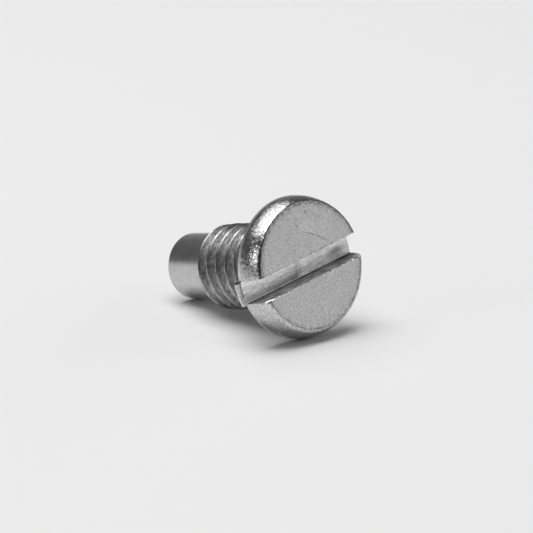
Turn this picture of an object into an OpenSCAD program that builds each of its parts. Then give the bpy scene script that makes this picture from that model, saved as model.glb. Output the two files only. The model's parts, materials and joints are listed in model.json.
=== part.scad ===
// Magnetic drain plug: a slotted screw turned from one bar, with a rod magnet bonded in its tip.
// In the plug's own frame the seat under the head is z = 0, the head is above it and the tip
// below it, and the slot runs along Y. The plug is then laid down as it rests on a flat surface.

/* [Head] */
// Diameter of the head
head_d = 15.5; // [12:0.5:20]
// Thickness of the head on its axis
head_t = 3.15; // [2.5:0.05:6]
// Radius of the long curve round the rim
rim_r = 4.6; // [4:0.1:9]
// Height of the straight band below that curve
rim_band = 0.7; // [0.4:0.1:1.5]
// Rounding of the head's lower edge
seat_edge_r = 0.3; // [0.1:0.05:0.4]
// How far the ground face leans from square, in degrees
face_lean = 1.9; // [0:0.1:5]
// Which way the face leans, in degrees from the slot. The thick side is heavy and lies lowest.
face_lean_turn = 75; // [0:1:359]

/* [Slot] */
// Width of the slot
slot_w = 2.6; // [1:0.1:4]
// Metal left between the slot's floor and the seat
slot_web = 0.45; // [0.3:0.05:1.5]

/* [Thread] */
// Outer diameter of the thread, 3/8 in
thread_d = 9.525; // [8:0.005:12]
// Pitch of the thread, 16 to the inch
thread_pitch = 1.5875; // [1:0.0005:2]
// From the seat to the shoulder where the tip starts
thread_end = 12.05; // [9:0.05:25]
// Length of the plain neck under the head, which leaves room for a washer
neck_l = 1.7; // [0.8:0.1:3]
// Rounding where the neck meets the seat
neck_fillet = 0.4; // [0.1:0.1:0.6]
// Length of the chamfer where the thread starts
lead_l = 1.2; // [0.8:0.1:2]

/* [Tip] */
// Diameter of the smooth tip
tip_d = 7.4; // [6.6:0.1:7.6]
// Length of the smooth tip
tip_l = 5.85; // [3:0.05:15]
// Rounding of the tip's end
tip_edge_r = 0.45; // [0.1:0.05:0.8]

/* [Magnet] */
// Diameter of the magnet
magnet_d = 5; // [3:0.1:5.2]
// Length of the magnet
magnet_l = 8; // [3:0.5:10]
// Gap round the magnet for its adhesive
magnet_gap = 0.05; // [0.02:0.01:0.15]
// How far the magnet sits below the tip's end
magnet_recess = 0.3; // [0:0.1:1]
// Chamfer at the mouth of the magnet's hole
mouth_chamfer = 0.25; // [0.1:0.05:0.4]

/* [How it lies] */
// How far the slot has turned from level
slot_turn = 10.5; // [-90:0.5:90]

/* [Hidden] */
$fn = 128;

head_r = head_d / 2;
thread_r = thread_d / 2;
// Depth of an external 60 degree thread, as a share of its pitch
depth_share = 0.6134;
thread_depth = depth_share * thread_pitch;
neck_r = thread_r - thread_depth;
tip_r = tip_d / 2;
plug_l = thread_end + tip_l;
bore_r = magnet_d / 2 + magnet_gap;
bore_l = magnet_l + magnet_recess;
// Least flat left on the tip's end, between its rounding and the chamfer of the hole
end_land = 0.05;
end_edge_r = min(tip_edge_r, tip_r - bore_r - mouth_chamfer - end_land);
// The shank's profile starts this far inside the head, below the slot's floor
shank_top = slot_web / 2;
// What cuts through a face runs this far past it
past = 1;
// The head before its face is ground is taller by more than the lean can lift the rim
blank_t = head_t + head_r * tan(face_lean) + past;

// The plug lies on two roundings: the head's lower edge and the tip's end. Their common tangent
// is the surface, so the axis slopes by the angle between it and the line of their centres.
lie_run = plug_l + seat_edge_r - end_edge_r;
lie_rise = (head_r - seat_edge_r) - (tip_r - end_edge_r);
lie_tilt = atan2(lie_rise, lie_run) - asin((end_edge_r - seat_edge_r) / norm([lie_run, lie_rise]));
seat_height = seat_edge_r + (head_r - seat_edge_r) * cos(lie_tilt) - seat_edge_r * sin(lie_tilt);
// The middle of the lying plug, between the tip's upper edge and the rim's foremost point
rim_front = rim_band * cos(lie_tilt) + (head_r - rim_r) * sin(lie_tilt) + rim_reach();
tip_back = plug_l * cos(lie_tilt) + tip_r * sin(lie_tilt);
seat_ahead = (tip_back - rim_front) / 2;

// How far the rim's curve reaches forward of its own centre, where the ground face ends it
function rim_reach() = let (
    up = head_t - rim_band,
    out = sqrt(rim_r * rim_r - up * up)
) up * cos(lie_tilt) + out * sin(lie_tilt);

module lay_down() {
    translate([seat_ahead, 0, seat_height])
        rotate([0, 90 - lie_tilt, 0])
        rotate([0, 0, slot_turn])
        children();
}

// What a rounding of radius e takes off an outer corner at r, z of a turned profile.
// The metal lies above z where inward is 1, and below it where inward is -1.
module corner_waste(r, z, e, inward) {
    difference() {
        translate([r - e, inward > 0 ? z - past : z - e])
            square([e + past, e + past]);
        translate([r - e, z + inward * e])
            circle(r = e);
    }
}

module head_blank() {
    rotate_extrude()
        difference() {
            intersection() {
                square([head_r, blank_t]);
                union() {
                    square([head_r, rim_band]);
                    translate([head_r - rim_r, rim_band])
                        circle(r = rim_r);
                }
            }
            corner_waste(head_r, 0, seat_edge_r, 1);
        }
}

// All that is kept below the ground face
module below_face() {
    side = 2 * (head_r + past);
    translate([0, 0, head_t])
        rotate([0, 0, face_lean_turn])
        rotate([-face_lean, 0, 0])
        translate([-side / 2, -side / 2, -side])
        cube(side);
}

module slot_cut() {
    translate([-slot_w / 2, -head_r - past, slot_web])
        cube([slot_w, head_d + 2 * past, blank_t]);
}

module head() {
    difference() {
        intersection() {
            head_blank();
            below_face();
        }
        slot_cut();
    }
}

// Neck, thread's outer cylinder, lead chamfer and tip, turned in one piece
module shank() {
    rotate_extrude()
        difference() {
            union() {
                polygon([
                    [0, shank_top],
                    [neck_r, shank_top],
                    [neck_r, -neck_l],
                    [thread_r, -neck_l - thread_depth],
                    [thread_r, -thread_end + lead_l],
                    [tip_r, -thread_end],
                    [tip_r, -plug_l],
                    [0, -plug_l]
                ]);
                // Fillet in the corner of neck and seat
                difference() {
                    translate([neck_r, -neck_fillet])
                        square([neck_fillet, neck_fillet + shank_top]);
                    translate([neck_r + neck_fillet, -neck_fillet])
                        circle(r = neck_fillet);
                }
            }
            corner_waste(tip_r, -plug_l, end_edge_r, 1);
        }
}

module magnet_hole() {
    translate([0, 0, -plug_l - past])
        cylinder(r = bore_r, h = bore_l + past);
    translate([0, 0, -plug_l])
        cylinder(r1 = bore_r + mouth_chamfer, r2 = bore_r, h = mouth_chamfer);
}

module plug_body() {
    color("silver")
        lay_down()
        difference() {
            union() {
                head();
                shank();
            }
            magnet_hole();
        }
}

module magnet() {
    color("dimgray")
        lay_down()
        translate([0, 0, -plug_l + magnet_recess])
        cylinder(r = magnet_d / 2, h = magnet_l);
}

plug_body();
magnet();
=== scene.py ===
"""Looks of a magnetic drain plug: a slotted screw turned from steel bar, a rod magnet in its tip.

The plug is modelled upright in millimetres in its own frame: the seat under the head is height 0,
the head is above it, the tip below it and the slot runs along Y. It is then laid down in the CAD
model's own place, which the frame's mounts give.
"""

import json
import math

import bpy
from mathutils import Matrix, Vector, noise


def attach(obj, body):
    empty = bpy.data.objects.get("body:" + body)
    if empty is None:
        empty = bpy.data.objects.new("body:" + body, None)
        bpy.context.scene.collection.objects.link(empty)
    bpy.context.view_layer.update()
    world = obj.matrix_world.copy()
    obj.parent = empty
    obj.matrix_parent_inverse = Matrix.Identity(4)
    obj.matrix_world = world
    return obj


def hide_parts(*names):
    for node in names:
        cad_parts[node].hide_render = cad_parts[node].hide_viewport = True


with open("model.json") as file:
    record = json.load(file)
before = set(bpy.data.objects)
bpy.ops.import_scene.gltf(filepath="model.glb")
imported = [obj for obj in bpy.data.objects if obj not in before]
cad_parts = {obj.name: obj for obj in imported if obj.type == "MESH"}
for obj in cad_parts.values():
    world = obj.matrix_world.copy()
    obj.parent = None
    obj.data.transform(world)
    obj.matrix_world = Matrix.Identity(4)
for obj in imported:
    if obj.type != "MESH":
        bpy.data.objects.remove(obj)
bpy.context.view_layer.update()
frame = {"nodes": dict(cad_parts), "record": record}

MM = 0.001
MOUNTS = {mount["name"]: mount for mount in frame["record"]["mounts"]}

# Sizes in millimetres, as in the CAD model
HEAD_R = 7.75
HEAD_T = 3.15
RIM_R = 4.6
RIM_BAND = 0.7
SEAT_EDGE_R = 0.3
FACE_LEAN = math.radians(1.9)
FACE_LEAN_TURN = math.radians(75)
SLOT_W = 2.6
SLOT_WEB = 0.45
SLOT_TURN = math.radians(10.5)
THREAD_R = 9.525 / 2
PITCH = 1.5875
DEPTH_SHARE = 0.6134
THREAD_DEPTH = DEPTH_SHARE * PITCH
NECK_R = THREAD_R - THREAD_DEPTH
NECK_L = 1.7
NECK_FILLET = 0.4
THREAD_END = 12.05
LEAD_L = 1.2
TIP_R = 3.7
TIP_L = 5.85
TIP_EDGE_R = 0.45
MAGNET_R = 2.5
MAGNET_L = 8
MAGNET_GAP = 0.05
MAGNET_RECESS = 0.3
MOUTH_CHAMFER = 0.25
BORE_R = MAGNET_R + MAGNET_GAP
PLUG_L = THREAD_END + TIP_L

# Steps round a full turn, on the turned surfaces and on the thread
TURN_STEPS = 480
THREAD_STEPS = 128
# A cutter runs this far past what it cuts
PAST = 1
# Points this near each other are welded into one
WELD = 1e-5
# A point or a face this near a surface counts as on it
TOUCH = 0.01


# -------------------------------------------------------------------------------------------------
# Where the plug lies, and how it is looked at
# -------------------------------------------------------------------------------------------------

HEADWARD = -Vector(MOUNTS["seat"]["axis"]).normalized()
ON_AXIS = Vector(MOUNTS["thread"]["pos_m"])
SEAT_CENTRE = ON_AXIS + HEADWARD * (Vector(MOUNTS["seat"]["pos_m"]) - ON_AXIS).dot(HEADWARD)
LIE_TILT = math.asin(HEADWARD.z)

LAY_DOWN = (
    Matrix.Translation(SEAT_CENTRE)
    @ Matrix.Rotation(math.pi / 2 - LIE_TILT, 4, "Y")
    @ Matrix.Rotation(SLOT_TURN, 4, "Z")
    @ Matrix.Scale(MM, 4)
)

VIEW_TURN = math.radians(39.70)
VIEW_RISE = math.radians(17.03)
VIEW_DISTANCE = 0.34874
VIEW_ASIDE = -0.002888
VIEW_ABOVE = 0.000040
LENS = 218.05
SENSOR = 36


def add_camera():
    """A long lens that looks down on the head from its front right."""
    toward = Vector((
        math.cos(VIEW_RISE) * math.cos(VIEW_TURN),
        -math.cos(VIEW_RISE) * math.sin(VIEW_TURN),
        math.sin(VIEW_RISE),
    ))
    right = Vector((math.sin(VIEW_TURN), math.cos(VIEW_TURN), 0))
    up = toward.cross(right)
    aim = SEAT_CENTRE + VIEW_ASIDE * right + VIEW_ABOVE * up
    bpy.ops.object.camera_add()
    camera = bpy.context.object
    camera.name = "camera"
    camera.data.lens = LENS
    camera.data.sensor_width = SENSOR
    camera.data.clip_start = 0.01
    camera.data.clip_end = 10
    turn = Matrix((right, up, toward)).transposed().to_4x4()
    camera.matrix_world = Matrix.Translation(aim + VIEW_DISTANCE * toward) @ turn
    bpy.context.scene.camera = camera


# -------------------------------------------------------------------------------------------------
# Modelling steps
# -------------------------------------------------------------------------------------------------


def deselect_all():
    if bpy.context.mode != "OBJECT":
        bpy.ops.object.mode_set(mode="OBJECT")
    bpy.ops.object.select_all(action="DESELECT")


def name_piece(name):
    piece = bpy.context.object
    piece.name = name
    piece.data.name = name
    return piece


def pick(piece):
    deselect_all()
    piece.select_set(True)
    bpy.context.view_layer.objects.active = piece


def draw_outline(name, outline, closed):
    """Draws (radius, height) points as a chain of edges in the XZ plane."""
    deselect_all()
    radius, height = outline[0]
    bpy.ops.mesh.primitive_plane_add(size=1, location=(radius, 0, height))
    bpy.ops.object.transform_apply(location=True, rotation=False, scale=False)
    piece = name_piece(name)
    bpy.ops.object.mode_set(mode="EDIT")
    bpy.ops.mesh.merge(type="CENTER")
    for before, after in zip(outline, outline[1:]):
        step = (after[0] - before[0], 0, after[1] - before[1])
        bpy.ops.mesh.extrude_region_move(TRANSFORM_OT_translate={"value": step})
    if closed:
        first = (outline[0][0] - outline[-1][0], 0, outline[0][1] - outline[-1][1])
        bpy.ops.mesh.extrude_region_move(TRANSFORM_OT_translate={"value": first})
        bpy.ops.mesh.select_all(action="SELECT")
        bpy.ops.mesh.remove_doubles(threshold=WELD)
    return piece


def turn_on_lathe(name, outline):
    """A solid turned about the upright axis from an outline that starts and ends on it."""
    piece = draw_outline(name, outline, closed=False)
    bpy.ops.mesh.select_all(action="SELECT")
    bpy.ops.mesh.spin(steps=TURN_STEPS, angle=2 * math.pi, center=(0, 0, 0), axis=(0, 0, 1))
    bpy.ops.mesh.select_all(action="SELECT")
    bpy.ops.mesh.remove_doubles(threshold=WELD)
    bpy.ops.mesh.normals_make_consistent(inside=False)
    deselect_all()
    return piece


def combine(piece, other, operation="DIFFERENCE"):
    """Cuts the other shape out of a piece, joins it on, or keeps only what both hold."""
    pick(piece)
    cut = piece.modifiers.new("cut", "BOOLEAN")
    cut.operation = operation
    cut.solver = "MANIFOLD"
    cut.object = other
    bpy.ops.object.modifier_apply(modifier=cut.name)
    bpy.data.objects.remove(other)


def wind(name, section, axis, turn, rise, steps, rounds=1):
    """Repeats a closed (radius, height) section round and along an axis, and closes its ends."""
    piece = draw_outline(name, section, closed=True)
    pick(piece)
    winding = piece.modifiers.new("winding", "SCREW")
    winding.axis = axis
    winding.angle = turn
    winding.screw_offset = rise
    winding.iterations = rounds
    winding.steps = steps
    winding.render_steps = steps
    bpy.ops.object.modifier_apply(modifier=winding.name)
    bpy.ops.object.mode_set(mode="EDIT")
    bpy.ops.mesh.select_all(action="SELECT")
    bpy.ops.mesh.fill_holes(sides=0)
    bpy.ops.mesh.select_all(action="SELECT")
    bpy.ops.mesh.normals_make_consistent(inside=False)
    deselect_all()
    return piece


def draw_out(name, section, start, length, steps):
    """A straight bar along Y whose (x, height) section is repeated in steps along it."""
    piece = wind(name, section, "Y", 0, length, steps)
    lowest = min(vertex.co.y for vertex in piece.data.vertices)
    piece.data.transform(Matrix.Translation((0, start - lowest, 0)))
    return piece


def wander(place, size):
    """Smooth noise between about -1 and 1 whose swings are about a size apart."""
    return noise.noise(Vector(place) / size)


def arc(centre, radius, start, end, steps):
    """Points along an arc, its angles in degrees from outward toward up."""
    points = []
    for i in range(steps + 1):
        angle = math.radians(start + (end - start) * i / steps)
        points.append((centre[0] + radius * math.cos(angle), centre[1] + radius * math.sin(angle)))
    return points


# -------------------------------------------------------------------------------------------------
# The plug
# -------------------------------------------------------------------------------------------------


# Least metal that the grinding takes off the head
GROUND_OFF = 0.3
# Rings in the straight band below the rim's curve, for its dents
BAND_STEPS = 4


def plug_outline():
    """Head, neck, plain thread cylinder and tip, from the head's top down to the tip's end."""
    blank_t = HEAD_T + HEAD_R * math.tan(FACE_LEAN) + GROUND_OFF
    rim_top = math.degrees(math.asin((blank_t - RIM_BAND) / RIM_R))
    outline = [(0, blank_t)]
    outline += arc((HEAD_R - RIM_R, RIM_BAND), RIM_R, rim_top, 0, steps=34)
    for i in range(BAND_STEPS - 1, 0, -1):
        outline.append((HEAD_R, SEAT_EDGE_R + (RIM_BAND - SEAT_EDGE_R) * i / BAND_STEPS))
    outline += arc((HEAD_R - SEAT_EDGE_R, SEAT_EDGE_R), SEAT_EDGE_R, 0, -90, steps=8)
    outline += arc((NECK_R + NECK_FILLET, -NECK_FILLET), NECK_FILLET, 90, 180, steps=8)
    outline += [
        (NECK_R, -NECK_L),
        (THREAD_R, -NECK_L - THREAD_DEPTH),
        (THREAD_R, -THREAD_END + LEAD_L),
        (TIP_R, -THREAD_END),
    ]
    outline += arc((TIP_R - TIP_EDGE_R, -PLUG_L + TIP_EDGE_R), TIP_EDGE_R, 0, -90, steps=8)
    outline += [
        (BORE_R + MOUTH_CHAMFER, -PLUG_L),
        (BORE_R, -PLUG_L + MOUTH_CHAMFER),
        (BORE_R, -PLUG_L + MAGNET_L + MAGNET_RECESS),
        (0, -PLUG_L + MAGNET_L + MAGNET_RECESS),
    ]
    return outline


# The ground face: how it slopes, and the crease where it meets the rim. The crease is nearly a
# circle, its centre moved toward the low side of the face.
FACE_TURN = Matrix.Rotation(FACE_LEAN_TURN, 4, "Z") @ Matrix.Rotation(-FACE_LEAN, 4, "X")
FACE_UP = FACE_TURN @ Vector((0, 0, 1))
FACE_SLOPE = Vector((-FACE_UP.x / FACE_UP.z, -FACE_UP.y / FACE_UP.z))
RIM_REACH = math.sqrt(RIM_R**2 - (HEAD_T - RIM_BAND) ** 2)
CREASE_R = HEAD_R - RIM_R + RIM_REACH
CREASE_SHIFT = -(HEAD_T - RIM_BAND) / RIM_REACH * CREASE_R * FACE_SLOPE
CREASE_FALL = math.atan2(RIM_REACH, HEAD_T - RIM_BAND)
# Rounding of the crease, and how far and in what sizes its wear swings in and out
CREASE_EDGE_R = 0.48
CREASE_BEND = CREASE_EDGE_R * math.tan(CREASE_FALL / 2)
CREASE_WEAR = 0.02
CREASE_WEAR_SIZES = (0.12, 0.5)


def face_height(x, y):
    return HEAD_T + FACE_SLOPE.x * x + FACE_SLOPE.y * y


def grind_face(piece):
    """Keeps what lies under a leaning flat face whose edge is rounded where it meets the rim."""
    start = CREASE_R - CREASE_BEND
    outline = [(0, 0), (CREASE_R - 3 * CREASE_BEND, 0)]
    steps = 6
    for i in range(steps + 1):
        angle = CREASE_FALL * i / steps
        outline.append((
            start + CREASE_EDGE_R * math.sin(angle), CREASE_EDGE_R * (math.cos(angle) - 1)
        ))
    # Past the rounding it falls a little less steeply than the rim, and so stays clear of it
    edge_r, edge_height = outline[-1]
    fall = CREASE_FALL - math.radians(2.5)
    beyond = 3.5
    outline += [
        (edge_r + beyond, edge_height - beyond * math.tan(fall)),
        (edge_r + beyond, -2 * PLUG_L),
        (0, -2 * PLUG_L),
    ]
    envelope = turn_on_lathe("grinding_envelope", outline)
    for vertex in envelope.data.vertices:
        radius = math.hypot(vertex.co.x, vertex.co.y)
        if start - TOUCH < radius < edge_r + TOUCH and vertex.co.z > edge_height - TOUCH:
            worn = CREASE_WEAR * sum(wander(vertex.co, size) for size in CREASE_WEAR_SIZES)
            vertex.co.x *= 1 + worn / radius
            vertex.co.y *= 1 + worn / radius
    place = Vector((*CREASE_SHIFT, face_height(*CREASE_SHIFT)))
    envelope.data.transform(Matrix.Translation(place) @ FACE_TURN)
    combine(piece, envelope, "INTERSECT")


SLOT_CORNER_R = 0.12
# How much of the slot's edges is worn off, and how far past the crease their cutter runs
EDGE_WEAR = 0.07
EDGE_PAST = 0.1


def mill_slot(piece):
    """Cuts the slot, its floor's corners a little rounded by the worn cutter."""
    half = SLOT_W / 2
    top = HEAD_T + PAST
    section = [(half, top), (-half, top)]
    corner = half - SLOT_CORNER_R
    corner_height = SLOT_WEB + SLOT_CORNER_R
    section += arc((-corner, corner_height), SLOT_CORNER_R, 180, 270, steps=4)
    section += arc((corner, corner_height), SLOT_CORNER_R, 270, 360, steps=4)
    reach = HEAD_R + PAST
    combine(piece, draw_out("slot_cutter", section, -reach, 2 * reach, steps=1))


# Nicks in the slot's edges: side of the slot, place along it, half length, depth
SLOT_NICKS = (
    (-1, -1.73, 0.15, 0.08), (-1, -1.02, 0.22, 0.16), (-1, 0.34, 0.15, 0.06),
    (-1, 2.05, 0.25, 0.08), (-1, 2.67, 0.2, 0.14), (-1, 3.56, 0.18, 0.09),
    (1, -6.85, 0.42, 0.26), (1, -5.3, 0.12, 0.05), (1, -2.14, 0.12, 0.06),
    (1, 0.6, 0.12, 0.05), (1, 2.6, 0.25, 0.04), (1, 4.03, 0.12, 0.07), (1, 5.6, 0.2, 0.05),
)


def wear_slot_edges(piece):
    """Breaks the slot's two long edges unevenly, with a few nicks."""
    reach = CREASE_R + EDGE_PAST
    for side in (-1, 1):
        x = side * SLOT_W / 2
        section = [(x + 1, 0), (x, 1), (x - 1, 0), (x, -1)]
        cutter = draw_out("edge_cutter", section, -reach, 2 * reach, steps=170)
        for vertex in cutter.data.vertices:
            y = vertex.co.y
            short_swing = 0.4 * wander((side, y, 0), 0.2)
            long_swing = 0.2 * wander((side, y, 3), 0.9)
            wear = EDGE_WEAR * (1 + short_swing + long_swing)
            for nick_side, place, half, depth in SLOT_NICKS:
                if nick_side == side and abs(y - place) < half:
                    wear += depth * math.cos(math.pi / 2 * (y - place) / half) ** 2
            vertex.co.x = x + (vertex.co.x - x) * wear
            vertex.co.z = face_height(x, y) + vertex.co.z * wear
        combine(piece, cutter)


# Sections of bars, as shares of their half width and half height
DIAMOND = ((1, 0), (0, 1), (-1, 0), (0, -1))
SOFT_BAR = (
    (1, -0.7), (1, 0.7), (0.7, 1), (-0.7, 1), (-1, 0.7), (-1, -0.7), (-0.7, -1), (0.7, -1),
)
BLADE = ((0.64, 0.77), (-0.64, -0.77), (0.1, -0.9), (0.9, 0.3))
# Steps along a bar
BAR_STEPS = 24


def forge_along(name, stations, section):
    """A bar through stations (x, y, height, half width, half height), its width kept level."""
    bar = draw_out(name, section, 0, 1, BAR_STEPS)
    spans = len(stations) - 1
    for vertex in bar.data.vertices:
        at = min(int(vertex.co.y * spans), spans - 1)
        share = vertex.co.y * spans - at
        before, after = stations[at], stations[at + 1]
        x, y, height, half_w, half_h = (a + (b - a) * share for a, b in zip(before, after))
        along = Vector((after[0] - before[0], after[1] - before[1])).normalized()
        vertex.co = (
            x + along.y * vertex.co.x * half_w,
            y - along.x * vertex.co.x * half_w,
            height + vertex.co.z * half_h,
        )
    return bar


# Scratches across the face, as (x, y) places along them, and half their width, which shrinks to a
# share of it at their ends
SCRATCHES = (
    (((-4, 0.21), (-3.58, 1), (-2.96, 1.9), (-2.26, 2.68), (-1.81, 3.21)), 0.045),
    (((-5.26, -0.51), (-4.8, -0.28), (-4.34, -0.1)), 0.05),
)
SCRATCH_END = 0.3
# A pit in the face
PIT = (-5.83, 1.39)
PIT_R = 0.16


def scratch_face(piece):
    """Cuts the scratches and the pit into the face."""
    for places, half in SCRATCHES:
        stations = []
        for i, (x, y) in enumerate(places):
            size = half * (SCRATCH_END if i in (0, len(places) - 1) else 1)
            stations.append((x, y, face_height(x, y), size, size / 2))
        combine(piece, forge_along("scratch_cutter", stations, DIAMOND))
    deselect_all()
    bpy.ops.mesh.primitive_uv_sphere_add(segments=24, ring_count=12, radius=PIT_R)
    pit = name_piece("pit_cutter")
    pit.data.transform(Matrix.Translation((*PIT, face_height(*PIT) + PIT_R / 2)))
    combine(piece, pit)


# The seam across the slot's floor, as stations: a shallow groove, and a thin lip on its right
SEAM = (
    (-1.32, 0.5, 0.46, 0.02, 0.02), (-0.9, 0.3, 0.46, 0.16, 0.03), (-0.35, 0.3, 0.46, 0.18, 0.04),
    (0.25, 0.3, 0.46, 0.18, 0.04), (0.85, 0.1, 0.46, 0.14, 0.03), (1.25, -0.2, 0.46, 0.02, 0.02),
)
SEAM_LIP = (
    (-1.32, 0.85, 0.45, 0.02, 0.02), (-0.7, 0.62, 0.45, 0.05, 0.05), (0.1, 0.52, 0.45, 0.05, 0.05),
    (0.9, 0.3, 0.45, 0.02, 0.02),
)

# What the cutter pushed up and left, as stations: the ribbon that hangs at the slot's end, the
# root that holds it, the gap over its left end, and a curl on the slot's edge
RIBBON = (
    (-1.32, -7.93, 0.1, 0.11, 0.16), (-1.12, -7.94, 0.06, 0.16, 0.2),
    (-0.4, -7.98, 0.05, 0.19, 0.24), (0.2, -7.98, 0.04, 0.19, 0.24),
    (0.8, -7.96, 0.04, 0.17, 0.22), (1.5, -7.85, 0.08, 0.12, 0.18),
)
RIBBON_ROOT = (
    (0, -7.78, 0.1, 0.06, 0.1), (0.4, -7.75, 0.12, 0.2, 0.24), (1.5, -7.68, 0.1, 0.2, 0.2),
)
RIBBON_GAP = ((-1.22, -8.3, 0.2, 0.12, 0.36), (-1.26, -7.45, 0.3, 0.09, 0.3))
CURL_FOOT = 2.6
CURL = (
    (1.33, -7.25, CURL_FOOT, 0.02, 0.02), (1.3, -7.1, 2.88, 0.035, 0.032),
    (1.28, -6.8, 3.04, 0.045, 0.041), (1.27, -6.45, 3.2, 0.045, 0.041),
    (1.26, -6.2, 3.33, 0.03, 0.027), (1.26, -6.08, 3.38, 0.01, 0.01),
)
# How far and in what size the ribbon waves in and out
RIBBON_WAVE = 0.025
RIBBON_WAVE_SIZE = 0.35


def raise_burrs(piece):
    """The seam, the ribbon with its root and gap, and the curl."""
    combine(piece, forge_along("seam_cutter", SEAM, DIAMOND))
    combine(piece, forge_along("seam_lip", SEAM_LIP, DIAMOND), "UNION")
    combine(piece, forge_along("gap_cutter", RIBBON_GAP, DIAMOND))
    combine(piece, forge_along("ribbon_root", RIBBON_ROOT, SOFT_BAR), "UNION")
    ribbon = forge_along("ribbon", RIBBON, SOFT_BAR)
    for vertex in ribbon.data.vertices:
        vertex.co.y += RIBBON_WAVE * wander(vertex.co, RIBBON_WAVE_SIZE)
    combine(piece, ribbon, "UNION")
    combine(piece, forge_along("curl", CURL, BLADE), "UNION")


# The rim's dents: their size and depth, and how far from its edges they start to fade
DENT_SIZE = 0.36
DENT_DEPTH = 0.04
DENT_FADE = 0.25
# The rim's curve is made of short flats, and its points lie this near it
RIM_FLATNESS = 0.002


def dent_rim(piece):
    """Small dents all over the rim's curve, fading out toward its edges."""
    rim = piece.vertex_groups.new(name="rim")
    for vertex in piece.data.vertices:
        x, y, height = vertex.co
        radius = math.hypot(x, y)
        along = height - SEAT_EDGE_R
        below = face_height(x, y) - height
        if along > 0 and below > 0:
            on_rim = HEAD_R - RIM_R + math.sqrt(RIM_R**2 - max(height - RIM_BAND, 0) ** 2)
            if abs(radius - on_rim) < RIM_FLATNESS:
                fade = min(1, along / DENT_FADE, below / DENT_FADE)
                rim.add([vertex.index], fade, "REPLACE")
    dents = bpy.data.textures.new("rim_dents", "CLOUDS")
    dents.noise_scale = DENT_SIZE
    dents.noise_depth = 1
    pick(piece)
    push = piece.modifiers.new("dents", "DISPLACE")
    push.texture = dents
    push.texture_coords = "LOCAL"
    push.vertex_group = rim.name
    push.mid_level = 0.5
    push.strength = DENT_DEPTH
    bpy.ops.object.modifier_apply(modifier=push.name)


# The groove of a 60 degree thread takes seven eighths of the pitch and leaves the rest to the
# crest, whose edges are broken by a small chamfer
FLANK = math.tan(math.radians(30))
GROOVE_HALF = 7 * PITCH / 16
CREST_BREAK = 0.13
ROOT_R = 0.24
# A crest lies at this height below the seat, at this angle from X toward Y
CREST_HEIGHT = -9.16
CREST_ANGLE = math.radians(249)
# The groove starts this many turns below that crest, past the tip's start, and ends in the neck
TURNS_BELOW = 3
THREAD_TURNS = 8


def groove_outline(height):
    """Section of the thread's groove about its middle height, open side outward."""
    apex = THREAD_R - GROOVE_HALF / FLANK
    break_r = THREAD_R - CREST_BREAK
    break_half = (break_r - apex) * FLANK
    outside = THREAD_R + CREST_BREAK
    outside_half = break_half + outside - break_r
    # A circle that touches both flanks has its centre two radii from where they would meet
    root = arc((apex + 2 * ROOT_R, height), ROOT_R, 120, 240, steps=6)
    return (
        [(outside, height + outside_half), (break_r, height + break_half)]
        + root
        + [(break_r, height - break_half), (outside, height - outside_half)]
    )


def thread_cutter():
    """One groove wound right-handed from the neck to past the start of the tip."""
    section = groove_outline(CREST_HEIGHT + PITCH / 2 - TURNS_BELOW * PITCH)
    piece = wind("thread_cutter", section, "Z", 2 * math.pi, PITCH, THREAD_STEPS, THREAD_TURNS)
    piece.data.transform(Matrix.Rotation(CREST_ANGLE, 4, "Z"))
    return piece


# Edges shorter than this are slivers that the cuts leave
SLIVER = 1e-4


def clear_slivers(piece):
    """Dissolves the faces without area and the edges without length that the cuts leave."""
    pick(piece)
    bpy.ops.object.mode_set(mode="EDIT")
    bpy.ops.mesh.select_all(action="SELECT")
    bpy.ops.mesh.remove_doubles(threshold=SLIVER)
    bpy.ops.mesh.dissolve_degenerate(threshold=SLIVER)
    deselect_all()


def lay_down(piece):
    piece.data.transform(LAY_DOWN)


def make_plug():
    piece = turn_on_lathe("drain_plug", plug_outline())
    grind_face(piece)
    mill_slot(piece)
    wear_slot_edges(piece)
    scratch_face(piece)
    raise_burrs(piece)
    combine(piece, thread_cutter())
    clear_slivers(piece)
    dent_rim(piece)
    pick(piece)
    bpy.ops.object.shade_smooth_by_angle(angle=math.radians(30))
    return piece


# -------------------------------------------------------------------------------------------------
# Materials
# -------------------------------------------------------------------------------------------------


# The middle of a spot, as a share of its reach
SPOT_MIDDLE = 0.3


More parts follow.
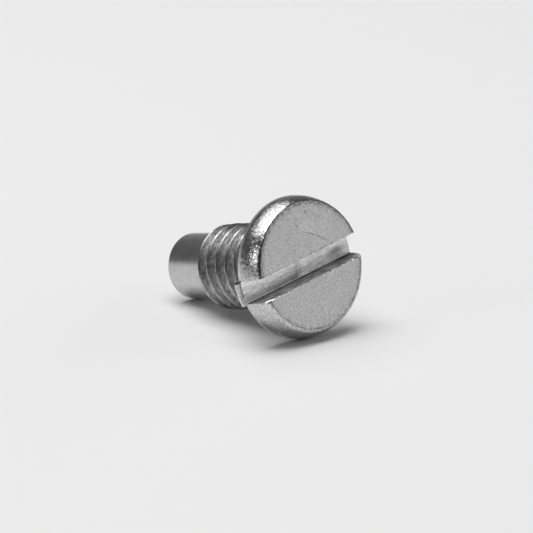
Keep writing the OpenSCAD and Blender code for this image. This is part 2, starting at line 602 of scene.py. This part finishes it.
class Recipe:
    """A metal material whose patterns are laid out in the plug's own frame, in millimetres."""

    def __init__(self, name, grey, roughness):
        self.material = bpy.data.materials.new(name)
        self.material.use_nodes = True
        self.tree = self.material.node_tree
        self.shader = self.tree.nodes["Principled BSDF"]
        self.shader.inputs["Metallic"].default_value = 1
        self.shader.inputs["Base Color"].default_value = (grey, grey, grey, 1)
        self.shader.inputs["Roughness"].default_value = roughness
        where = self.add("ShaderNodeTexCoord")
        place = self.add("ShaderNodeMapping", vector_type="TEXTURE")
        place.inputs["Location"].default_value = LAY_DOWN.translation
        place.inputs["Rotation"].default_value = LAY_DOWN.to_euler()
        place.inputs["Scale"].default_value = (MM, MM, MM)
        self.link(where.outputs["Object"], place.inputs["Vector"])
        self.place = place.outputs["Vector"]

    def add(self, kind, **settings):
        node = self.tree.nodes.new(kind)
        for key, value in settings.items():
            setattr(node, key, value)
        return node

    def link(self, source, target):
        self.tree.links.new(source, target)

    def work_out(self, operation, *values):
        node = self.add("ShaderNodeMath", operation=operation)
        for socket, value in zip(node.inputs, values):
            if isinstance(value, (int, float)):
                socket.default_value = value
            else:
                self.link(value, socket)
        return node.outputs["Value"]

    def stretch(self, scale):
        node = self.add("ShaderNodeMapping")
        node.inputs["Scale"].default_value = scale
        self.link(self.place, node.inputs["Vector"])
        return node.outputs["Vector"]

    def noise(self, scale, detail=3, stretch=None, roughness=0.5):
        node = self.add("ShaderNodeTexNoise")
        node.inputs["Scale"].default_value = scale
        node.inputs["Detail"].default_value = detail
        node.inputs["Roughness"].default_value = roughness
        self.link(self.stretch(stretch) if stretch else self.place, node.inputs["Vector"])
        return node.outputs["Fac"]

    def between(self, value, low, high, to_low, to_high):
        node = self.add("ShaderNodeMapRange")
        for socket, number in zip(list(node.inputs)[1:5], (low, high, to_low, to_high)):
            socket.default_value = number
        self.link(value, node.inputs["Value"])
        return node.outputs["Result"]

    def grey(self, *factors):
        """Sets the colour to the product of all the factors."""
        value = factors[0]
        for factor in factors[1:]:
            value = self.work_out("MULTIPLY", value, factor)
        node = self.add("ShaderNodeCombineColor")
        for socket in node.inputs:
            self.link(value, socket)
        self.link(node.outputs["Color"], self.shader.inputs["Base Color"])

    def roughness(self, value):
        self.link(value, self.shader.inputs["Roughness"])

    def parts(self, vector=None):
        node = self.add("ShaderNodeSeparateXYZ")
        self.link(vector or self.place, node.inputs["Vector"])
        return node.outputs

    def spot(self, centre, reach, factor):
        """A factor round a place, full in its middle and faded to 1 at its reach on each axis."""
        value = self.place
        for operation, amount in (("SUBTRACT", centre), ("DIVIDE", reach)):
            node = self.add("ShaderNodeVectorMath", operation=operation)
            self.link(value, node.inputs[0])
            node.inputs[1].default_value = amount
            value = node.outputs["Vector"]
        length = self.add("ShaderNodeVectorMath", operation="LENGTH")
        self.link(value, length.inputs[0])
        return self.between(length.outputs["Value"], SPOT_MIDDLE, 1, factor, 1)

    def plan_radius(self, vector=None):
        """Distance from the upright axis."""
        x, y, _ = self.parts(vector)
        along_x = self.work_out("MULTIPLY", x, x)
        along_y = self.work_out("MULTIPLY", y, y)
        return self.work_out("SQRT", self.work_out("ADD", along_x, along_y))

    def crease_gap(self):
        """Distance in plan from where the face starts to round over into the rim."""
        shift = self.add("ShaderNodeVectorMath", operation="SUBTRACT")
        self.link(self.place, shift.inputs[0])
        shift.inputs[1].default_value = (*CREASE_SHIFT, 0)
        radius = self.plan_radius(shift.outputs["Vector"])
        gap = self.work_out("SUBTRACT", radius, CREASE_R - CREASE_BEND)
        return self.work_out("ABSOLUTE", gap)

    def crease_shade(self, near, far, darkest):
        """A factor of painted shade along the crease, in short broken dashes."""
        dark = self.between(self.crease_gap(), near, far, 1 - darkest, 0)
        broken = self.between(self.noise(3.2, detail=2), 0.42, 0.58, 0.15, 1)
        return self.work_out("SUBTRACT", 1, self.work_out("MULTIPLY", dark, broken))

    def bump(self, height, distance):
        """Bumps by a pattern, with the given distance in millimetres between low and high."""
        node = self.add("ShaderNodeBump")
        node.inputs["Strength"].default_value = 1
        node.inputs["Distance"].default_value = distance * MM
        self.link(height, node.inputs["Height"])
        self.link(node.outputs["Normal"], self.shader.inputs["Normal"])


def ground_steel():
    """The head's face: matte, with a fine even grain, and painted shade near the crease and in
    broken dashes along it.
    """
    made = Recipe("ground_steel", 0.6, 0.5)
    grain = made.noise(4.6, detail=3, roughness=0.65)
    # Painted shade, mottled, over the last 0.7 mm of the face before the crease
    shade_near_crease = made.between(made.crease_gap(), 0, 0.7, 0.24, 0)
    mottle = made.between(made.noise(4, detail=3), 0.4, 0.6, 0, 1)
    made.grey(
        made.between(grain, 0.32, 0.68, 0.46, 0.74),
        made.between(made.noise(0.9), 0.3, 0.7, 0.96, 1.03),
        made.work_out("SUBTRACT", 1, made.work_out("MULTIPLY", shade_near_crease, mottle)),
        # Painted shade in broken dashes along the crease
        made.crease_shade(0.03, 0.18, 0.45),
    )
    made.bump(grain, 0.02)
    return made.material


def burnished_steel():
    """The rim: bright and blotched, with small dents; painted shade toward its bottom, over its
    lower left and in broken dashes along the crease, and darker toward its right.
    """
    made = Recipe("burnished_steel", 0.62, 0.14)
    dents = made.noise(4.5, detail=3, roughness=0.6)
    across, along, _ = made.parts()
    above_ribbon = made.spot((-2.2, -7.3, 1.6), (1.6, 1.2, 1.6), 0.76)
    # Painted shade over the rim's lower left, below the ribbon
    shade_below_ribbon = made.spot((4.8, -6.1, 0.7), (2.3, 2.4, 1.4), 0.28)
    made.grey(
        made.between(made.noise(4, detail=4, roughness=0.75), 0.36, 0.64, 0.4, 0.82),
        made.between(made.noise(6.5, detail=3, roughness=0.8), 0.36, 0.46, 0.6, 1),
        above_ribbon,
        shade_below_ribbon,
        # Painted shade toward the rim's bottom as the plug lies, and in dashes along the crease
        made.between(across, 5, 7.6, 1, 0.7),
        made.crease_shade(0.08, 0.28, 0.4),
        made.between(along, 3.5, 7, 1, 0.62),
    )
    made.roughness(made.between(made.noise(1.6), 0.35, 0.65, 0.1, 0.24))
    made.bump(dents, 0.03)
    return made.material


def edge_steel():
    """The head's lower edge, left dull and darker toward its top, with painted shade toward its
    bottom, over its lower left and by the gap over the ribbon.
    """
    made = Recipe("edge_steel", 0.8, 0.5)
    across, _, _ = made.parts()
    # Painted shade over the lower left, below the ribbon, and nearly black by the gap over the
    # ribbon's left end
    shade_below_ribbon = made.spot((4, -6.7, 0), (3.5, 4, 2), 0.6)
    shade_by_gap = made.spot((-1.2, -7.68, 0.25), (0.24, 0.5, 0.5), 0.08)
    made.grey(
        made.between(made.noise(4, detail=3), 0.35, 0.65, 0.64, 0.88),
        shade_below_ribbon,
        shade_by_gap,
        # Darker toward the top; painted shade toward the bottom as the plug lies
        made.between(across, -6, -2, 0.5, 1),
        made.between(across, 3.5, 7.5, 1, 0.7),
    )
    return made.material


def milled_steel():
    """The slot's floor, with the cutter's marks along it, a painted highlight along its upper
    edge, painted shade toward its lower corner and beside the seam, and darker toward its right
    end and in a patch there.
    """
    made = Recipe("milled_steel", 0.66, 0.36)
    marks = made.noise(2.2, detail=4, stretch=(1.5, 0.4, 1.5), roughness=0.6)
    across, along, _ = made.parts()
    beside_seam = made.work_out("ABSOLUTE", made.work_out("SUBTRACT", along, 0.2))
    # A darker patch near the floor's right end
    dark_patch = made.spot((0.35, 5.8, SLOT_WEB), (0.6, 1.8, 1), 0.5)
    made.grey(
        made.between(marks, 0.3, 0.7, 0.66, 1.1),
        made.between(made.noise(3, detail=4, roughness=0.7), 0.38, 0.62, 0.82, 1.06),
        # Painted highlight along the floor's upper edge as the plug lies, and painted shade toward
        # its corner with the lower wall
        made.between(across, -1.3, -0.5, 1.3, 1.04),
        made.between(across, -0.5, 0.5, 1.04, 0.86),
        # Painted shade beside the seam, then darker toward the right end
        made.between(beside_seam, 0.1, 0.5, 0.76, 1),
        made.between(along, 0.5, 3, 1, 0.86),
        dark_patch,
    )
    made.bump(marks, 0.04)
    return made.material


def sheared_steel():
    """The slot's walls, torn along their length, and dark partly from the steel's dull finish and
    partly as painted shade: darkest toward the floor corner and at the right end, with painted
    light toward the top edge.
    """
    made = Recipe("sheared_steel", 0.3, 0.5)
    marks = made.noise(1.5, detail=3, stretch=(1, 0.5, 1.2), roughness=0.6)
    _, _, height = made.parts()
    fade = 0.9
    # Painted shade at the wall's right end
    dark_patch = made.spot((SLOT_W / 2, 6.5, 1), (1, 1.8, 1.3), 0.3)
    made.grey(
        made.between(marks, 0.35, 0.65, 0.26, 0.76),
        # Painted shade toward the floor corner, and painted light toward the top edge
        made.between(height, SLOT_WEB, SLOT_WEB + fade, 0.2, 1),
        made.between(height, HEAD_T - fade, HEAD_T, 1, 1.2),
        dark_patch,
    )
    made.bump(marks, 0.03)
    return made.material


def burr_steel():
    """Freshly torn metal, bright and smooth, with a painted highlight on the curl."""
    made = Recipe("burr_steel", 0.8, 0.3)
    # Painted highlight: the curl's colour is lifted above the rest of the burr so that its
    # highlight reads white
    on_curl = made.spot((1.2, -6.5, 3.2), (1, 1.6, 1), 1.4)
    made.grey(made.between(made.noise(4, detail=2), 0.35, 0.65, 0.45, 0.7), on_curl)
    return made.material


def worn_and_shaded_steel():
    """The bottoms of scratches, nicks, the pit and the gap over the ribbon, with painted shade in
    the gap and behind the curl.
    """
    made = Recipe("worn_and_shaded_steel", 0.35, 0.45)
    # Painted shade: nearly black behind the curl and in the gap over the ribbon's left end
    shade_behind_curl = made.spot((1.5, -6.8, 3.1), (0.8, 0.8, 0.8), 0.2)
    shade_in_gap = made.spot((-1.2, -7.85, 0.2), (0.7, 0.8, 0.8), 0.12)
    made.grey(made.between(made.noise(5, detail=2), 0.4, 0.6, 0.12, 0.5), shade_behind_curl, shade_in_gap)
    return made.material


def chipped_steel():
    """The slot's broken edges: bright, with dark specks."""
    made = Recipe("chipped_steel", 0.6, 0.4)
    made.grey(made.between(made.noise(2.6, detail=3), 0.4, 0.56, 0.2, 0.72))
    return made.material


def threaded_steel():
    """The thread's flanks: darkened, with stains round the turns."""
    made = Recipe("threaded_steel", 0.3, 0.36)
    made.shader.inputs["Metallic"].default_value = 0.76
    stains = made.noise(2.2, detail=4, stretch=(0.6, 0.6, 2), roughness=0.65)
    made.grey(
        made.between(stains, 0.35, 0.65, 0.2, 0.58),
        made.between(made.plan_radius(), THREAD_R - 0.7, THREAD_R - 0.15, 1, 0.52),
    )
    made.roughness(made.between(made.noise(3), 0.35, 0.65, 0.28, 0.5))
    made.bump(made.noise(5, detail=3), 0.03)
    return made.material


def crest_steel():
    """The thread's crests, bright from rubbing."""
    made = Recipe("crest_steel", 0.5, 0.32)
    made.grey(made.between(made.noise(2.2, detail=3), 0.35, 0.65, 0.28, 0.48))
    return made.material


def turned_steel():
    """The tip, with the fine lines of the lathe."""
    made = Recipe("turned_steel", 0.56, 0.28)
    lines = made.noise(2, detail=3, stretch=(0.1, 0.1, 8))
    made.grey(
        made.between(lines, 0.35, 0.65, 0.53, 0.61),
        made.between(made.noise(1.2, detail=3), 0.35, 0.65, 0.92, 1.04),
    )
    made.bump(made.noise(3, detail=3), 0.01)
    return made.material


def bore_steel():
    """Inside the magnet's hole."""
    made = Recipe("bore_steel", 0.4, 0.5)
    made.grey(made.between(made.noise(3), 0.35, 0.65, 0.32, 0.46))
    return made.material


def magnet_alloy():
    """The magnet: cast, dark and a little grainy."""
    made = Recipe("magnet_alloy", 0.3, 0.5)
    grain = made.noise(4, detail=4, roughness=0.7)
    made.grey(made.between(grain, 0.35, 0.65, 0.22, 0.36))
    made.bump(grain, 0.02)
    return made.material


FINISHES = (
    burnished_steel, edge_steel, ground_steel, milled_steel, sheared_steel, burr_steel,
    worn_and_shaded_steel, chipped_steel, threaded_steel, crest_steel, turned_steel, bore_steel,
)


# A face counts as below a level when it is lower by more than this
HAIR = 0.001
# Where one finish gives way to the next
UNDERSIDE_TOP = 0.02
EDGE_TOP = 0.62
CREST_BOTTOM = THREAD_R - 1.2 * CREST_BREAK
PROUD_R = HEAD_R + 0.02
FLOOR_TOP = SLOT_WEB + 0.05
SCRATCH_BOTTOM = HEAD_T - 0.4
SCRATCHED_R = CREASE_R - 0.5
# The slot's broken edges lie above this height and this near its middle, and their nicks lie
# farther out than the rest or near the left end
CHIPS_BOTTOM = 1.5
CHIPS_REACH = 2
NICKED_X = SLOT_W / 2 + 1.3 * EDGE_WEAR
NICKED_Y = -6


def inside_gap(centre):
    """Whether a place is in the cut over the ribbon's left end."""
    return -1.42 < centre.x < -1.12 and centre.y < -7.2 and centre.z < 0.7


def finish_of(centre, normal):
    """Which finish a face of the plug has, by its place and the way it looks, in its own frame."""
    radius = math.hypot(centre.x, centre.y)
    inside_slot = abs(centre.x) < SLOT_W / 2 + TOUCH
    if centre.z < -THREAD_END - HAIR:
        return bore_steel if radius < BORE_R + TOUCH else turned_steel
    if centre.z < -NECK_L - HAIR:
        return crest_steel if radius > CREST_BOTTOM else threaded_steel
    if centre.z < UNDERSIDE_TOP:
        return turned_steel
    if inside_gap(centre) and (radius > PROUD_R or abs(normal.y) < 0.3):
        return worn_and_shaded_steel
    on_curl = inside_slot and centre.z > CURL_FOOT and abs(normal.x) < 0.98
    if radius > PROUD_R or on_curl:
        return burr_steel
    if inside_slot and centre.z > SLOT_WEB - TOUCH:
        return milled_steel if normal.z > 0.7 or centre.z < FLOOR_TOP else sheared_steel
    if normal.z > 0.99:
        return ground_steel
    facing_slot = centre.x * normal.x < 0 and abs(normal.x) > 0.4
    if facing_slot and centre.z > CHIPS_BOTTOM and abs(centre.x) < CHIPS_REACH:
        nicked = abs(centre.x) > NICKED_X or centre.y < NICKED_Y
        return worn_and_shaded_steel if nicked else chipped_steel
    if radius < SCRATCHED_R and centre.z > SCRATCH_BOTTOM:
        return worn_and_shaded_steel
    return edge_steel if centre.z < EDGE_TOP else burnished_steel


def finish_plug(piece):
    piece.data.materials.clear()
    for recipe in FINISHES:
        piece.data.materials.append(recipe())
    for face in piece.data.polygons:
        face.material_index = FINISHES.index(finish_of(face.center, face.normal))


def finish_magnet(piece):
    piece.data.materials.clear()
    piece.data.materials.append(magnet_alloy())


# -------------------------------------------------------------------------------------------------
# Floor and light
# -------------------------------------------------------------------------------------------------


# The room: how bright it is all round, and each brighter side as its direction, the cosines of the
# angles where it fades out and where it is full, and how much light it adds. The dark side, in
# front of the plug, takes a share of the light away instead.
ROOM_GREY = 0.1
BRIGHT_SIDES = (
    ((0.74, 0.62, 0.2), (0.7, 0.98), 0.62),
    ((-0.82, 0.57, 0.05), (0.86, 1.0), 0.12),
)
DARK_SIDE = ((0.75, -0.64, 0.2), (0.6, 0.95), 0.75)
# The light added near the floor, and how high it reaches
HORIZON_GREY = 0.07
HORIZON_TOP = 0.16
# What is seen behind the floor
BACKDROP_GREY = 0.75


def add_floor():
    deselect_all()
    bpy.ops.mesh.primitive_circle_add(vertices=128, radius=1.5, fill_type="NGON")
    floor = name_piece("floor")
    material = bpy.data.materials.new("pale_floor")
    material.use_nodes = True
    shader = material.node_tree.nodes["Principled BSDF"]
    shader.inputs["Base Color"].default_value = (0.8, 0.8, 0.8, 1)
    shader.inputs["Roughness"].default_value = 0.9
    shader.inputs["Specular IOR Level"].default_value = 0.1
    floor.data.materials.append(material)


def add_softbox(name, toward, distance, size, power, mirrored=True):
    """A rectangular light that faces the plug from a direction, in metres and watts."""
    direction = Vector(toward).normalized()
    bpy.ops.object.light_add(type="AREA", location=direction * distance)
    lamp = bpy.context.object
    lamp.name = name
    lamp.data.shape = "RECTANGLE"
    lamp.data.size, lamp.data.size_y = size
    lamp.data.energy = power
    lamp.rotation_euler = direction.to_track_quat("Z", "Y").to_euler()
    lamp.visible_glossy = mirrored


def light_room():
    """A dim room, brighter on some sides and near the floor, with a pale backdrop."""
    world = bpy.data.worlds.new("room")
    bpy.context.scene.world = world
    world.use_nodes = True
    tree = world.node_tree
    background = tree.nodes["Background"]
    direction = tree.nodes.new("ShaderNodeTexCoord").outputs["Generated"]

    def facing(toward):
        node = tree.nodes.new("ShaderNodeVectorMath")
        node.operation = "DOT_PRODUCT"
        node.inputs[1].default_value = Vector(toward).normalized()
        tree.links.new(direction, node.inputs[0])
        return node.outputs["Value"]

    def fade(value, start, end, low, high):
        node = tree.nodes.new("ShaderNodeMapRange")
        node.interpolation_type = "SMOOTHSTEP"
        for socket, number in zip(list(node.inputs)[1:5], (start, end, low, high)):
            socket.default_value = number
        tree.links.new(value, node.inputs["Value"])
        return node.outputs["Result"]

    def join(operation, first, second):
        node = tree.nodes.new("ShaderNodeMath")
        node.operation = operation
        tree.links.new(first, node.inputs[0])
        tree.links.new(second, node.inputs[1])
        return node.outputs["Value"]

    room = fade(facing((0, 0, 1)), 0, HORIZON_TOP, ROOM_GREY + HORIZON_GREY, ROOM_GREY)
    for toward, edges, extra in BRIGHT_SIDES:
        room = join("ADD", room, fade(facing(toward), *edges, 0, extra))
    toward, edges, share = DARK_SIDE
    room = join("MULTIPLY", room, fade(facing(toward), *edges, 1, 1 - share))
    seen = tree.nodes.new("ShaderNodeLightPath")
    choice = tree.nodes.new("ShaderNodeMix")
    choice.data_type = "FLOAT"
    tree.links.new(seen.outputs["Is Camera Ray"], choice.inputs["Factor"])
    tree.links.new(room, choice.inputs["A"])
    choice.inputs["B"].default_value = BACKDROP_GREY
    tree.links.new(choice.outputs["Result"], background.inputs["Color"])


def add_softboxes():
    """One overhead, one behind, a small one on the left and a low one on the right."""
    add_softbox("overhead_softbox", (-0.017, -0.121, 0.992), 1.0, size=(0.77, 0.77), power=8.1)
    add_softbox("back_softbox", (-0.536, -0.095, 0.839), 1.0, size=(1.1, 0.5), power=2.6)
    add_softbox("left_softbox", (-0.18, -0.95, 0.4), 0.9, size=(0.16, 0.23), power=0.47)
    add_softbox(
        "right_softbox", (-0.03, 0.98, 0.17), 0.9, size=(0.7, 0.25), power=1.4, mirrored=False
    )


def set_tone():
    bpy.context.scene.view_settings.view_transform = "Standard"


add_camera()
add_floor()
light_room()
set_tone()
add_softboxes()

plug = make_plug()
finish_plug(plug)
lay_down(plug)
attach(plug, "root")
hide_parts("plug_body")
finish_magnet(frame["nodes"]["magnet"])
